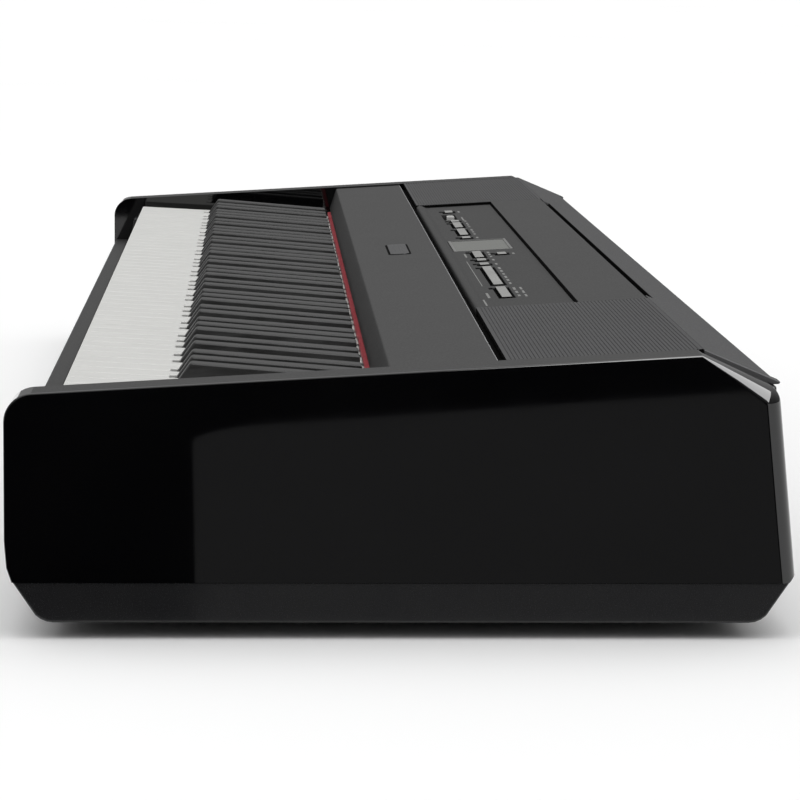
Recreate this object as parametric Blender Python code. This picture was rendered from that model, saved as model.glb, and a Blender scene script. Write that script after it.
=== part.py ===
"""Slab digital piano, 88 keys, without its stand.

Frame: metres, +Z up. X runs along the keyboard (treble end at +X), the player sits at -Y.
The origin is the middle of the footprint, at the underside of the feet.
Sizes below are in millimetres and heights start at the underside of the bottom case,
which stands FOOT_H above the floor; place() and mm() turn them into the metres of the frame.
"""
import math

import bmesh
import bpy
from mathutils import Matrix, Vector

for old in list(bpy.data.objects):
    bpy.data.objects.remove(old, do_unlink=True)

MM = 0.001
GAP = 0.3                     # clearance between touching pieces

# Overall size
LENGTH = 1336.0
DEPTH = 376.0
FOOT_H = 8.0
END_T = 26.0                  # thickness of the glossy end blocks
HALF_L = LENGTH / 2
HALF_D = DEPTH / 2
WALL_X = HALF_L - END_T       # inner faces of the end blocks
BODY_X = WALL_X - GAP         # ends of everything that sits between them

# Top surface: it rises gently from the front edge to a ridge, then falls to the rear edge
TOP_FRONT_Z = 108.5
TOP_SLOPE = 0.0602
RIDGE_Y = 144.3
REAR_SLOPE = -0.42
END_RIDGE_Y = 140.8
END_DROP_Y = 177.0
END_DROP_Z = 112.0

# Bottom case
CASE_H = 19.0
CASE_WALL = 3.0
CASE_INSET = 0.8              # the bottom case is this much shorter than the end blocks at each end

# Keyboard, on the standard octave of 164.5 mm
OCTAVE = 164.5
WHITE_PITCH = OCTAVE / 7
WHITE_GAP = 1.0
KEY_FRONT_Y = -163.7
KEY_FRONT_Z = 105.1
KEY_SLOPE = 0.049             # keys rest front high and lie level when pressed
KEY_BOTTOM_Z = 81.0
NOTCH_Y = -113.3
BLACK_FRONT_Y = -112.0
BLACK_TOP_Y = -102.0
BLACK_TOP_Z = 113.2
BLACK_BACK_Y = -15.6
BLACK_BACK_Z = 106.3
BLACK_W = 10.8
BLACK_TAPER = 0.035           # each side leans in by this much per mm of height
BLACK_CLEAR = 0.9
BLACK_RAIL = (28.0, 44.0, 97.4, 101.6)   # front, rear, bottom and top of the rail over the whites
WHITE_RAIL = (49.0, 60.0, 83.0, 92.0)
PIVOT_Y = 57.0
PIVOT_Z = 84.0
LOWEST_C = -70.5 - 3 * OCTAVE  # left edge of C1
SHARPS = {"Cs": 20.8, "Ds": 49.7, "Fs": 90.4, "Gs": 117.5, "As": 144.6}
NATURALS = "CDEFGAB"

# Key slip, fallboard and top panels
SLIP_Y = -186.9
SLIP_Z = 75.8
SLIP_BACK_Y = -176.8
FALL_Y = -11.2
FALL_Z = 101.6
PANEL_FRONT_Y = -5.6
PANEL_SINK = 1.2              # the front top panel lies this far under the end blocks
GAP_Y = 46.9                  # an open seam runs behind the front top panel from here
GRILLE_Y = 50.0               # and ends here
GRILLE_X = 389.0
CONTROL_SINK = 2.2            # the control panel lies this far under the grilles and the rear cover
CONTROL_BACK_Y = 105.6
COVER_Y = 105.9
SHEET = 2.6                   # wall of the moulded top pieces
SLOT_Y = (143.7, 149.0)
SLOT_X = 372.0
SLOT_DEEP = 15.0
REAR_EDGE_Y = 178.2
REAR_LUG = (632.0, 181.6)     # outside this x the rear strip reaches this far back
REAR_FOOT_Y = 187.6

# Buttons of the control panel: name, left, right, front and rear of the well, caps in it
WELL_Y = (66.8, 76.3)
BUTTONS = [
    ("power_button", -342.0, -320.0, WELL_Y, 1),
    ("metronome_button", -249.0, -232.0, WELL_Y, 1),
    ("tempo_button_bank", -228.5, -180.0, WELL_Y, 3),
    ("transport_button_bank", -170.5, -114.5, WELL_Y, 3),
    ("function_button", -103.0, -86.0, WELL_Y, 1),
    ("exit_button", 33.0, 50.5, (82.0, 91.5), 1),
    ("select_button_bank", 17.0, 64.5, WELL_Y, 3),
    ("split_button", 71.4, 89.1, WELL_Y, 1),
    ("reverb_button", 101.4, 118.6, WELL_Y, 1),
    ("voice_button_bank", 128.6, 250.0, WELL_Y, 6),
    ("effect_button_bank", 261.4, 325.7, WELL_Y, 3),
]
CAP_MARGIN = 1.5
CAP_FRONT = 1.6               # room before and behind a cap in its well
CAP_REAR = 2.1
CAP_GAP = 0.7
CAP_RISE = 1.1
SLIDER_WELL = (-309.0, -257.0, 64.8, 74.4)
SLIDER_X = -270.0
SLIDER_CAP = (14.0, 5.0, 2.0)  # length, depth and rise of the knob
DISPLAY = (-74.0, 8.0, 57.6, 96.4)

COLOURS = {
    "gloss_black": ((0.012, 0.012, 0.014), 0.08, 0.0),
    "satin_charcoal": ((0.075, 0.075, 0.078), 0.5, 0.0),
    "case_charcoal": ((0.02, 0.02, 0.021), 0.55, 0.0),
    "grille_charcoal": ((0.09, 0.09, 0.092), 0.6, 0.0),
    "ivory_white": ((0.72, 0.72, 0.69), 0.35, 0.0),
    "ebony_black": ((0.02, 0.02, 0.02), 0.45, 0.0),
    "red_felt": ((0.16, 0.015, 0.025), 0.95, 0.0),
    "button_grey": ((0.45, 0.45, 0.44), 0.5, 0.0),
    "display_glass": ((0.24, 0.24, 0.23), 0.15, 0.0),
    "speaker_black": ((0.03, 0.03, 0.03), 0.7, 0.0),
    "rubber_black": ((0.02, 0.02, 0.02), 0.8, 0.0),
    "frame_steel": ((0.45, 0.45, 0.46), 0.4, 1.0),
    "board_green": ((0.02, 0.12, 0.05), 0.5, 0.0),
    "base_wood": ((0.45, 0.33, 0.2), 0.7, 0.0),
}


def material(slot):
    """One Principled material for each finish, made when it is first asked for."""
    mat = bpy.data.materials.get(slot)
    if mat is None:
        colour, roughness, metallic = COLOURS[slot]
        mat = bpy.data.materials.new(slot)
        mat.use_nodes = True
        shader = mat.node_tree.nodes["Principled BSDF"]
        shader.inputs["Base Color"].default_value = (*colour, 1.0)
        shader.inputs["Roughness"].default_value = roughness
        shader.inputs["Metallic"].default_value = metallic
    return mat


def place(x, y, z):
    """A point given in millimetres over the bottom case, in the metres of the frame."""
    return Vector((x, y, z + FOOT_H)) * MM


def top_z(y, sink=0.0):
    return TOP_FRONT_Z + TOP_SLOPE * (y + HALF_D) - sink


def panel_z(y, under=0.0):
    """Height of the control panel, or of a level this far under it."""
    return top_z(y, CONTROL_SINK + under)


def key_top_z(y):
    return KEY_FRONT_Z - KEY_SLOPE * (y - KEY_FRONT_Y)


def arc(cy, cz, radius, start, end, steps):
    """Points on a circle in the YZ plane, by angle in degrees from +Y."""
    angles = [math.radians(start + (end - start) * i / steps) for i in range(steps + 1)]
    return [(cy + radius * math.cos(a), cz + radius * math.sin(a)) for a in angles]


def add_object(name, bm, slot):
    bmesh.ops.recalc_face_normals(bm, faces=bm.faces)
    mesh = bpy.data.meshes.new(name)
    bm.to_mesh(mesh)
    bm.free()
    obj = bpy.data.objects.new(name, mesh)
    bpy.context.scene.collection.objects.link(obj)
    obj.data.materials.append(material(slot))
    return obj


def add_prism(bm, outline, x0, x1):
    """A YZ outline run from x0 to x1, added to bm as one closed body."""
    verts = [bm.verts.new(place(x0, y, z)) for y, z in outline]
    face = bm.faces.new(verts)
    run = bmesh.ops.extrude_face_region(bm, geom=[face])
    moved = [v for v in run["geom"] if isinstance(v, bmesh.types.BMVert)]
    bmesh.ops.translate(bm, verts=moved, vec=Vector(((x1 - x0) * MM, 0, 0)))
    return verts + moved


def add_plan(bm, outline, bottom, top):
    """An XY outline closed between two height functions of y, as one closed body."""
    verts = [bm.verts.new(place(x, y, bottom(y))) for x, y in outline]
    face = bm.faces.new(verts)
    run = bmesh.ops.extrude_face_region(bm, geom=[face])
    moved = [v for v in run["geom"] if isinstance(v, bmesh.types.BMVert)]
    for v in moved:
        v.co.z = (top(v.co.y / MM) + FOOT_H) * MM
    return verts + moved


def prism(name, outline, x0, x1, slot):
    bm = bmesh.new()
    add_prism(bm, outline, x0, x1)
    return add_object(name, bm, slot)


def plan(name, outline, bottom, top, slot):
    bm = bmesh.new()
    add_plan(bm, outline, bottom, top)
    return add_object(name, bm, slot)


def rect(x0, x1, y0, y1):
    return [(x0, y0), (x1, y0), (x1, y1), (x0, y1)]


def level(z):
    return lambda y: z


def modify(obj, other, operation):
    """A live exact Boolean on obj; other becomes a hidden wire guide."""
    other.hide_render = True
    other.display_type = "WIRE"
    mod = obj.modifiers.new(operation.lower(), "BOOLEAN")
    mod.operation = operation
    mod.solver = "EXACT"
    mod.object = other


def set_origin(obj, point):
    """Move an object's origin to a point given in metres, leaving its mesh where it is."""
    obj.data.transform(Matrix.Translation(-point))
    obj.location = point


# ---------------------------------------------------------------- casing

def case_outline():
    """Side section of the bottom case, chamfered front and rear with rounded lower edges."""
    front = arc(-165.0, 12.0, 12.0, 225, 270, 3)
    rear = arc(165.0, 12.0, 12.0, 270, 315, 3)
    return [(-184.0, CASE_H)] + front + rear + [(184.0, CASE_H)]


def make_bottom():
    half = HALF_L - CASE_INSET
    tray = prism("bottom_case", case_outline(), -half, half, "case_charcoal")
    pocket_x, pocket_y = half - CASE_WALL, 162.0
    bm = bmesh.new()
    add_plan(bm, rect(-pocket_x, pocket_x, -pocket_y, pocket_y), level(CASE_WALL), level(CASE_H + 5))
    modify(tray, add_object("tray_pocket", bm, "case_charcoal"), "DIFFERENCE")
    board_x, board_y = pocket_x - GAP, pocket_y - GAP
    plan("base_board", rect(-board_x, board_x, -board_y, board_y),
         level(CASE_WALL + GAP), level(CASE_H), "base_wood")
    for name, x, y in (("foot_front_bass", -1, -1), ("foot_front_treble", 1, -1),
                       ("foot_rear_bass", -1, 1), ("foot_rear_treble", 1, 1)):
        make_foot(name, x * 540.0, y * 115.0)


def make_foot(name, x, y):
    """Rubber foot, a short turned pad with a rounded lower edge."""
    top_r = 17.0
    profile = [(0.0, -FOOT_H), (14.0, -FOOT_H), (15.6, -FOOT_H + 1.2), (top_r, -GAP), (0.0, -GAP)]
    bm = bmesh.new()
    verts = [bm.verts.new(place(x + r, y, z)) for r, z in profile]
    edges = [bm.edges.new(pair) for pair in zip(verts, verts[1:])]
    bmesh.ops.spin(bm, geom=verts + edges, cent=place(x, y, 0), axis=(0, 0, 1),
                   angle=2 * math.pi, steps=20, use_merge=True)
    bmesh.ops.remove_doubles(bm, verts=bm.verts, dist=0.00001)
    foot = add_object(name, bm, "rubber_black")
    foot.data.shade_smooth()
    foot.data.set_sharp_from_angle(angle=math.radians(30))


def end_outline():
    """Side section of an end block, from its lower front edge round over the top."""
    low = CASE_H + GAP
    corner = 13.0
    rise = math.degrees(math.atan(TOP_SLOPE))
    front_top = arc(-HALF_D + corner, top_z(-HALF_D + corner) - corner, corner, 180, 90 + rise, 5)
    return ([(-184.6, low), (-187.0, low + 7.0), (-HALF_D, low + 20.0)] + front_top
            + [(END_RIDGE_Y, top_z(END_RIDGE_Y)), (END_DROP_Y, END_DROP_Z), (180.4, 108.4),
               (187.6, low + 6.0), (HALF_D, low + 4.0), (184.4, low)])


def make_end_blocks():
    for name, side in (("bass_end_block", -1), ("treble_end_block", 1)):
        x0, x1 = sorted((side * WALL_X, side * HALF_L))
        prism(name, end_outline(), x0, x1, "gloss_black")


def make_key_slip():
    """Front rail: face, top lip and a short return, open behind."""
    low = CASE_H + GAP
    wall = 3.0
    outline = [(-184.6, low), (-187.0, low + 7.0), (-187.7, low + 20.0), (SLIP_Y - 0.4, SLIP_Z - 2.2),
               (SLIP_Y + 0.8, SLIP_Z), (SLIP_BACK_Y, SLIP_Z), (SLIP_BACK_Y, 66.0),
               (SLIP_BACK_Y - wall, 66.0), (SLIP_BACK_Y - wall, SLIP_Z - wall),
               (-187.7 + wall + 1.0, SLIP_Z - wall), (-187.7 + wall + 1.0, low + 20.0),
               (-187.0 + wall, low)]
    prism("key_slip", outline, -BODY_X, BODY_X, "satin_charcoal")


def make_fillers():
    """Blocks that close the gap between the last keys and the end blocks."""
    edge = 611.0
    outline = [(-175.6, 24.0), (-175.6, 64.0), (-171.0, 95.0), (-12.5, 96.6), (-12.5, 24.0)]
    for name, side in (("bass_key_filler", -1), ("treble_key_filler", 1)):
        x0, x1 = sorted((side * (edge + 0.6), side * BODY_X))
        prism(name, outline, x0, x1, "case_charcoal")


def make_front_panel():
    """Fallboard face and front top panel in one moulding."""
    fore = PANEL_FRONT_Y
    outline = [(FALL_Y, FALL_Z), (fore, top_z(fore, PANEL_SINK)),
               (GAP_Y, top_z(GAP_Y, PANEL_SINK)), (GAP_Y, top_z(GAP_Y, PANEL_SINK + SHEET)),
               (fore + SHEET, top_z(fore, PANEL_SINK + SHEET)), (FALL_Y + SHEET, FALL_Z)]
    prism("front_top_panel", outline, -BODY_X, BODY_X, "satin_charcoal")
    felt = [(-13.4, 98.5), (-13.4, 101.0), (FALL_Y - 0.1, 101.3), (-2.0, 101.3), (-2.0, 98.5)]
    prism("felt_strip", felt, -611.0, 611.0, "red_felt")


def make_control_panel():
    panel = plan("control_panel", rect(-GRILLE_X + GAP, GRILLE_X - GAP, GRILLE_Y, CONTROL_BACK_Y),
                 lambda y: panel_z(y, SHEET), panel_z, "satin_charcoal")
    bm = bmesh.new()
    for _, x0, x1, (y0, y1), _ in BUTTONS:
        add_plan(bm, rect(x0, x1, y0, y1), level(100.0), level(140.0))
    x0, x1, y0, y1 = SLIDER_WELL
    add_plan(bm, rect(x0, x1, y0, y1), level(100.0), level(140.0))
    x0, x1, y0, y1 = DISPLAY
    add_plan(bm, rect(x0, x1, y0, y1), level(100.0), level(140.0))
    modify(panel, add_object("panel_wells", bm, "satin_charcoal"), "DIFFERENCE")
    plan("display_window", rect(x0 + GAP, x1 - GAP, y0 + GAP, y1 - GAP),
         lambda y: panel_z(y, SHEET), lambda y: panel_z(y, 0.2), "display_glass")


def make_buttons():
    """Each bank is a row of caps on one bar under the panel, and travels straight down."""
    for name, x0, x1, (y0, y1), count in BUTTONS:
        left = x0 + CAP_MARGIN
        pitch = (x1 - x0 - 2 * CAP_MARGIN + CAP_GAP) / count
        front, rear = y0 + CAP_FRONT, y1 - CAP_REAR
        bm = bmesh.new()
        for i in range(count):
            cap = rect(left + i * pitch, left + (i + 1) * pitch - CAP_GAP, front, rear)
            add_plan(bm, cap, lambda y: panel_z(y, SHEET + 2.0), lambda y: panel_z(y, -CAP_RISE))
        caps = add_object(name + "_caps", bm, "button_grey")
        bar = plan(name, rect(left - 0.4, x1 - CAP_MARGIN + 0.4, front - 0.4, rear + 0.4),
                   lambda y: panel_z(y, SHEET + 3.0), lambda y: panel_z(y, SHEET + 0.6), "button_grey")
        modify(bar, caps, "UNION")
        middle = place((x0 + x1) / 2, (y0 + y1) / 2, 0)
        middle.z = (panel_z((y0 + y1) / 2) + FOOT_H) * MM
        set_origin(bar, middle)
    width, deep, rise = SLIDER_CAP
    middle_y = (SLIDER_WELL[2] + SLIDER_WELL[3]) / 2
    knob = plan("volume_slider",
                rect(SLIDER_X - width / 2, SLIDER_X + width / 2, middle_y - deep / 2, middle_y + deep / 2),
                lambda y: panel_z(y, 4.0), lambda y: panel_z(y, -rise), "button_grey")
    set_origin(knob, place(SLIDER_X, middle_y, panel_z(middle_y)))


def make_grilles():
    """Speaker grilles, the ends of the top surface. The ribs run along X."""
    for name, side in (("bass_grille", -1), ("treble_grille", 1)):
        x0, x1 = sorted((side * GRILLE_X, side * BODY_X))
        plan(name, rect(x0, x1, GRILLE_Y, RIDGE_Y - GAP), lambda y: top_z(y, SHEET), top_z,
             "grille_charcoal")


def make_rear_cover():
    """Flat cover behind the controls, with a wall turned down at the front of the rest slot."""
    outline = [(COVER_Y, top_z(COVER_Y, SHEET + 2.0)), (COVER_Y, top_z(COVER_Y)),
               (SLOT_Y[0], top_z(SLOT_Y[0])), (SLOT_Y[0], top_z(SLOT_Y[0]) - SLOT_DEEP),
               (SLOT_Y[0] - 2.0, top_z(SLOT_Y[0]) - SLOT_DEEP), (SLOT_Y[0] - 2.0, top_z(SLOT_Y[0], SHEET)),
               (COVER_Y + 2.5, top_z(COVER_Y, SHEET)), (COVER_Y + 2.5, top_z(COVER_Y, SHEET + 2.0))]
    prism("rear_cover", outline, -GRILLE_X + GAP, GRILLE_X - GAP, "satin_charcoal")
    low = top_z(SLOT_Y[0]) - SLOT_DEEP
    inner = (SLOT_Y[0] + GAP, SLOT_Y[1] - GAP)
    outer = (SLOT_Y[0] - 2.0, SLOT_Y[1] + 1.5)
    floor = [(outer[0], low - 3.3), (outer[1], low - 3.3), (outer[1], low - GAP), (inner[1], low - GAP),
             (inner[1], low + 0.5), (inner[0], low + 0.5), (inner[0], low - GAP), (outer[0], low - GAP)]
    prism("music_rest_channel", floor, -SLOT_X + GAP, SLOT_X - GAP, "case_charcoal")


def make_rear_strip():
    """Sloping rear edge of the top. The music rest stands in the slot in front of it."""
    ridge = SLOT_Y[0] + 0.6
    crest = top_z(ridge)
    low = top_z(SLOT_Y[0]) - SLOT_DEEP

    def slope(y, sink=0.0):
        return crest + REAR_SLOPE * (y - ridge) - sink
    lug_x, lug_y = REAR_LUG
    outline = [(ridge, crest - SHEET), (ridge, crest), (lug_y, slope(lug_y)),
               (lug_y - 0.4, slope(lug_y, 1.2)), (177.2, 111.4), (SLOT_Y[1] + 1.5, slope(SLOT_Y[1] + 1.5, SHEET + 0.8)),
               (SLOT_Y[1] + 1.5, low), (SLOT_Y[1], low), (SLOT_Y[1], crest - SHEET - 2.2)]
    strip = prism("rear_strip", outline, -BODY_X, BODY_X, "satin_charcoal")
    bm = bmesh.new()
    add_plan(bm, rect(-SLOT_X, SLOT_X, ridge - 5, SLOT_Y[1]), level(90.0), level(140.0))
    add_plan(bm, rect(-lug_x, lug_x, REAR_EDGE_Y, lug_y + 5), level(90.0), level(140.0))
    modify(strip, add_object("strip_cuts", bm, "satin_charcoal"), "DIFFERENCE")


def make_rear_panel():
    """Leaning rear wall with the power inlet let into it."""
    low = CASE_H + GAP
    wall = 2.8
    outline = [(184.4, low), (HALF_D - 0.6, low + 4.0), (REAR_FOOT_Y - 0.6, low + 6.0), (179.6, 110.6),
               (179.6 - wall, 110.6), (REAR_FOOT_Y - 0.6 - wall, low + 6.0), (184.4 - wall, low)]
    panel = prism("rear_panel", outline, -BODY_X, BODY_X, "case_charcoal")
    inlet_x, inlet_z, size = -470.0, 52.0, 11.0
    bm = bmesh.new()
    add_plan(bm, rect(inlet_x - size / 2, inlet_x + size / 2, 170.0, 200.0),
             level(inlet_z - size / 2), level(inlet_z + size / 2))
    modify(panel, add_object("inlet_cut", bm, "case_charcoal"), "DIFFERENCE")
    make_inlet(inlet_x, inlet_z, size - 2 * GAP)


def make_inlet(x, z, size):
    """Power inlet: a square housing, open at the rear, round a centre pin."""
    half = size / 2
    bm = bmesh.new()
    add_plan(bm, rect(x - half, x + half, 168.0, 184.0), level(z - half), level(z + half))
    housing = add_object("power_inlet", bm, "case_charcoal")
    bm = bmesh.new()
    hole = Matrix.Translation(place(x, 182.0, z)) @ Matrix.Rotation(math.radians(90), 4, "X")
    bmesh.ops.create_cone(bm, cap_ends=True, segments=16, radius1=0.0033, radius2=0.0033,
                          depth=0.018, matrix=hole)
    modify(housing, add_object("inlet_bore", bm, "case_charcoal"), "DIFFERENCE")


# ---------------------------------------------------------------- inside

def make_key_rails():
    """Folded steel rails under the keys: the guide rail in front, the taller pivot rail behind."""
    low = CASE_H + GAP
    wall = 2.0
    rail_x = 606.0
    front, rear, top = -136.0, -124.0, 66.0
    guide = [(front, low), (rear, low), (rear, top), (front, top), (front, top - wall),
             (rear - wall, top - wall), (rear - wall, low + wall), (front, low + wall)]
    prism("front_guide_rail", guide, -rail_x, rail_x, "frame_steel")
    stop = [(front, top + GAP), (rear, top + GAP), (rear, top + 5.4), (front, top + 5.4)]
    prism("key_stop_felt", stop, -rail_x, rail_x, "red_felt")
    front, rear, top = 48.0, 64.0, 80.4
    pivot = [(front, low), (rear, low), (rear, low + wall), (front + wall, low + wall),
             (front + wall, top - wall), (rear, top - wall), (rear, top), (front, top)]
    prism("pivot_rail", pivot, -rail_x, rail_x, "frame_steel")


def make_electronics():
    """Main board on the base board, with its larger components."""
    low = CASE_H + GAP + 4.0
    board = plan("main_board", rect(-180.0, 180.0, 78.0, 158.0), level(low), level(low + 1.6),
                 "board_green")
    bm = bmesh.new()
    for x, y, wide, deep, tall in ((-140, 100, 40, 40, 12), (-70, 120, 24, 24, 4), (-10, 105, 30, 30, 3),
                                   (60, 125, 46, 18, 8), (130, 104, 60, 28, 22), (0, 118, 340, 6, -4)):
        z0, z1 = sorted((low + 0.8, low + 0.8 + tall))
        add_plan(bm, rect(x - wide / 2, x + wide / 2, y - deep / 2, y + deep / 2),
                 level(z0), level(z1))
    modify(board, add_object("board_components", bm, "board_green"), "UNION")


def make_speakers():
    """Oval drivers under the grilles, turned as rounds and stretched along X."""
    rim_z = top_z(98.0) - SHEET - 7.0
    profile = [(0.0, -12.0), (12.0, -12.0), (28.0, -2.0), (31.0, 0.6), (33.0, 0.0), (35.0, 1.2),
               (35.0, -2.0), (31.0, -4.0), (18.0, -26.0), (18.0, -40.0), (0.0, -40.0)]
    stretch = 1.9
    for name, side in (("bass_speaker", -1), ("treble_speaker", 1)):
        bm = bmesh.new()
        verts = [bm.verts.new(Vector((r, 0.0, z)) * MM) for r, z in profile]
        edges = [bm.edges.new(pair) for pair in zip(verts, verts[1:])]
        bmesh.ops.spin(bm, geom=verts + edges, cent=(0, 0, 0), axis=(0, 0, 1),
                       angle=2 * math.pi, steps=28, use_merge=True)
        bmesh.ops.remove_doubles(bm, verts=bm.verts, dist=0.00001)
        bmesh.ops.scale(bm, vec=(stretch, 1.0, 1.0), verts=bm.verts)
        bmesh.ops.translate(bm, vec=place(side * 515.0, 104.0, rim_z), verts=bm.verts)
        speaker = add_object(name, bm, "speaker_black")
        speaker.data.shade_smooth()
        speaker.data.set_sharp_from_angle(angle=math.radians(35))


# ---------------------------------------------------------------- keys

def octave_x(octave):
    return LOWEST_C + (octave - 1) * OCTAVE


def white_outline(letter, octave):
    """Plan of a white key, notched for its neighbours; A0 and C8 have one plain side."""
    index = NATURALS.index(letter)
    left = octave_x(octave) + index * WHITE_PITCH + WHITE_GAP / 2
    right = left + WHITE_PITCH - WHITE_GAP
    reach = BLACK_W / 2 + BLACK_CLEAR
    sharp_right = SHARPS.get(letter + "s")
    sharp_left = SHARPS.get(NATURALS[index - 1] + "s") if index else None
    if (letter, octave) == ("A", 0):
        sharp_left = None
    if (letter, octave) == ("C", 8):
        sharp_right = None
    outline = [(left, KEY_FRONT_Y), (right, KEY_FRONT_Y)]
    back = PIVOT_Y + 5.0
    if sharp_right:
        waist = octave_x(octave) + sharp_right - reach
        outline += [(right, NOTCH_Y), (waist, NOTCH_Y), (waist, back)]
    else:
        outline += [(right, back)]
    if sharp_left:
        waist = octave_x(octave) + sharp_left + reach
        outline += [(waist, back), (waist, NOTCH_Y), (left, NOTCH_Y)]
    else:
        outline += [(left, back)]
    return outline


def add_white_key(bm, letter, octave):
    add_plan(bm, white_outline(letter, octave), level(KEY_BOTTOM_Z), key_top_z)


def add_black_key(bm, sharp, octave):
    """A slanted front, a cap that falls towards the rear, and a low tail under the fallboard."""
    middle = octave_x(octave) + SHARPS[sharp]
    tail_z = key_top_z(BLACK_BACK_Y) - 1.2
    rail_y, end_y, _, _ = BLACK_RAIL
    hump_z = 99.5
    outline = [(BLACK_FRONT_Y, KEY_BOTTOM_Z + 3.0), (BLACK_FRONT_Y, 99.0), (BLACK_TOP_Y, BLACK_TOP_Z),
               (BLACK_BACK_Y, BLACK_BACK_Z), (BLACK_BACK_Y, tail_z), (rail_y - 2.0, tail_z - 1.0),
               (rail_y - 2.0, hump_z), (end_y + 2.0, hump_z), (end_y + 2.0, KEY_BOTTOM_Z + 3.0)]
    verts = add_prism(bm, outline, middle - BLACK_W / 2, middle + BLACK_W / 2)
    for v in verts:
        lean = BLACK_TAPER * (v.co.z / MM - FOOT_H - 99.0)
        if lean > 0:
            v.co.x += lean * MM if v.co.x < middle * MM else -lean * MM


def single_key(name, letter, octave):
    bm = bmesh.new()
    if letter.endswith("s"):
        add_black_key(bm, letter, octave)
        slot = "ebony_black"
    else:
        add_white_key(bm, letter, octave)
        slot = "ivory_white"
    key = add_object(name, bm, slot)
    set_origin(key, place(key_middle(letter, octave), PIVOT_Y, PIVOT_Z))


def key_middle(letter, octave):
    if letter.endswith("s"):
        return octave_x(octave) + SHARPS[letter]
    return octave_x(octave) + (NATURALS.index(letter) + 0.5) * WHITE_PITCH


def key_group(name, keys, black):
    """Neighbouring keys on one rail behind the fallboard, turning together."""
    bm = bmesh.new()
    for letter, octave in keys:
        if black:
            add_black_key(bm, letter, octave)
        else:
            add_white_key(bm, letter, octave)
    slot = "ebony_black" if black else "ivory_white"
    row = add_object(name + "_keys", bm, slot)
    centres = [key_middle(letter, octave) for letter, octave in keys]
    x0, x1 = min(centres) - 4.0, max(centres) + 4.0
    y0, y1, z0, z1 = BLACK_RAIL if black else WHITE_RAIL
    rail = prism(name, [(y0, z0), (y0, z1), (y1, z1), (y1, z0)], x0, x1, slot)
    modify(rail, row, "UNION")
    set_origin(rail, place((x0 + x1) / 2, PIVOT_Y, PIVOT_Z))


def span(first, last, black):
    """The keys of one colour between two (octave, position) ends, in order."""
    order = ["C", "Cs", "D", "Ds", "E", "F", "Fs", "G", "Gs", "A", "As", "B"]
    keys = [(letter, octave) for octave in range(9) for letter in order]
    start, stop = keys.index(first), keys.index(last)
    return [k for k in keys[start:stop + 1] if k[0].endswith("s") == black]


KEY_SPANS = [("lowest", ("A", 0), ("B", 1)), ("low", ("C", 2), ("B", 3)),
             ("high", ("C", 5), ("B", 6)), ("highest", ("C", 7), ("C", 8))]


def make_keys():
    for label, first, last in KEY_SPANS:
        key_group("white_keys_" + label, span(first, last, False), False)
        key_group("black_keys_" + label, span(first, last, True), True)
    for letter, octave in span(("C", 4), ("B", 4), False) + span(("C", 4), ("B", 4), True):
        kind = "black" if letter.endswith("s") else "white"
        note = letter.replace("s", "_sharp")
        single_key("%s_key_%s%d" % (kind, note, octave), letter, octave)


make_bottom()
make_end_blocks()
make_key_slip()
make_fillers()
make_front_panel()
make_control_panel()
make_buttons()
make_grilles()
make_rear_cover()
make_rear_strip()
make_rear_panel()
make_key_rails()
make_electronics()
make_speakers()
make_keys()
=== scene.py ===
"""Looks of the slab digital piano: finished outer pieces, materials, studio floor, light and camera.

Every size is in metres. MM turns the millimetres that a maker would write into metres.
+X runs to the treble end, the player sits at -Y, and +Z is up.
"""
import math

import bmesh
import bpy
from mathutils import Matrix, Vector


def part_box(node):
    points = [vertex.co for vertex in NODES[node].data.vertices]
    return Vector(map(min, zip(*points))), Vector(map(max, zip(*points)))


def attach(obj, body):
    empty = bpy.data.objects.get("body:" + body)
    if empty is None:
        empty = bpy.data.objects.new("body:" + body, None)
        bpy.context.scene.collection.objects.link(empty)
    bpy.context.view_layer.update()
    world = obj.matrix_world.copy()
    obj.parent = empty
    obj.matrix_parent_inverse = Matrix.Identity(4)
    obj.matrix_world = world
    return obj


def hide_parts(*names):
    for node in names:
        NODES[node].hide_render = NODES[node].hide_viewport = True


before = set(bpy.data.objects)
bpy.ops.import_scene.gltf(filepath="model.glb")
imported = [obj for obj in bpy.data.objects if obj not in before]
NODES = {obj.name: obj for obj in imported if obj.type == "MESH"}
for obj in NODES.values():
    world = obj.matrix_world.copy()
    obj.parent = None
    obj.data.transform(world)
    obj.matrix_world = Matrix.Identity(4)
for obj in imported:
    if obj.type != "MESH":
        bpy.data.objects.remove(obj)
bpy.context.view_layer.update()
MM = 0.001

# Casing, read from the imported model
BLOCK_LOW, BLOCK_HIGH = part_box("treble_end_block")
HALF_L = BLOCK_HIGH.x
HALF_D = BLOCK_HIGH.y
WALL_X = BLOCK_LOW.x
CREST_Y = 140.8 * MM                    # ridge of the end blocks
CREST_Z = BLOCK_HIGH.z
TOP_SLOPE = 0.0602                      # rise of the top towards the ridge, per unit of depth

# Keyboard, on the standard octave of 164.5 mm
OCTAVE = 164.5 * MM
WHITE_PITCH = OCTAVE / 7
WHITE_GAP = 1.0 * MM
LEFT_OF_C4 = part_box("white_key_C4")[0].x - WHITE_GAP / 2
KEY_FRONT_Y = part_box("white_key_C4")[0].y
KEY_BACK_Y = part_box("white_key_C4")[1].y
KEY_BOTTOM_Z, KEY_FRONT_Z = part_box("white_key_C4")[0].z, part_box("white_key_C4")[1].z
KEY_SLOPE = 0.049                       # fall of the white key tops towards the fallboard
NOTCH_Y = -113.3 * MM                   # where the white keys narrow for the black keys
BLACK_W = 10.8 * MM
BLACK_LEAN = 0.035                      # each side leans in by this much per unit of height
BLACK_CLEAR = 0.9 * MM                  # air between a black key and the notch beside it
SHARPS = {"Cs": 20.8 * MM, "Ds": 49.7 * MM, "Fs": 90.4 * MM, "Gs": 117.5 * MM, "As": 144.6 * MM}
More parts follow.
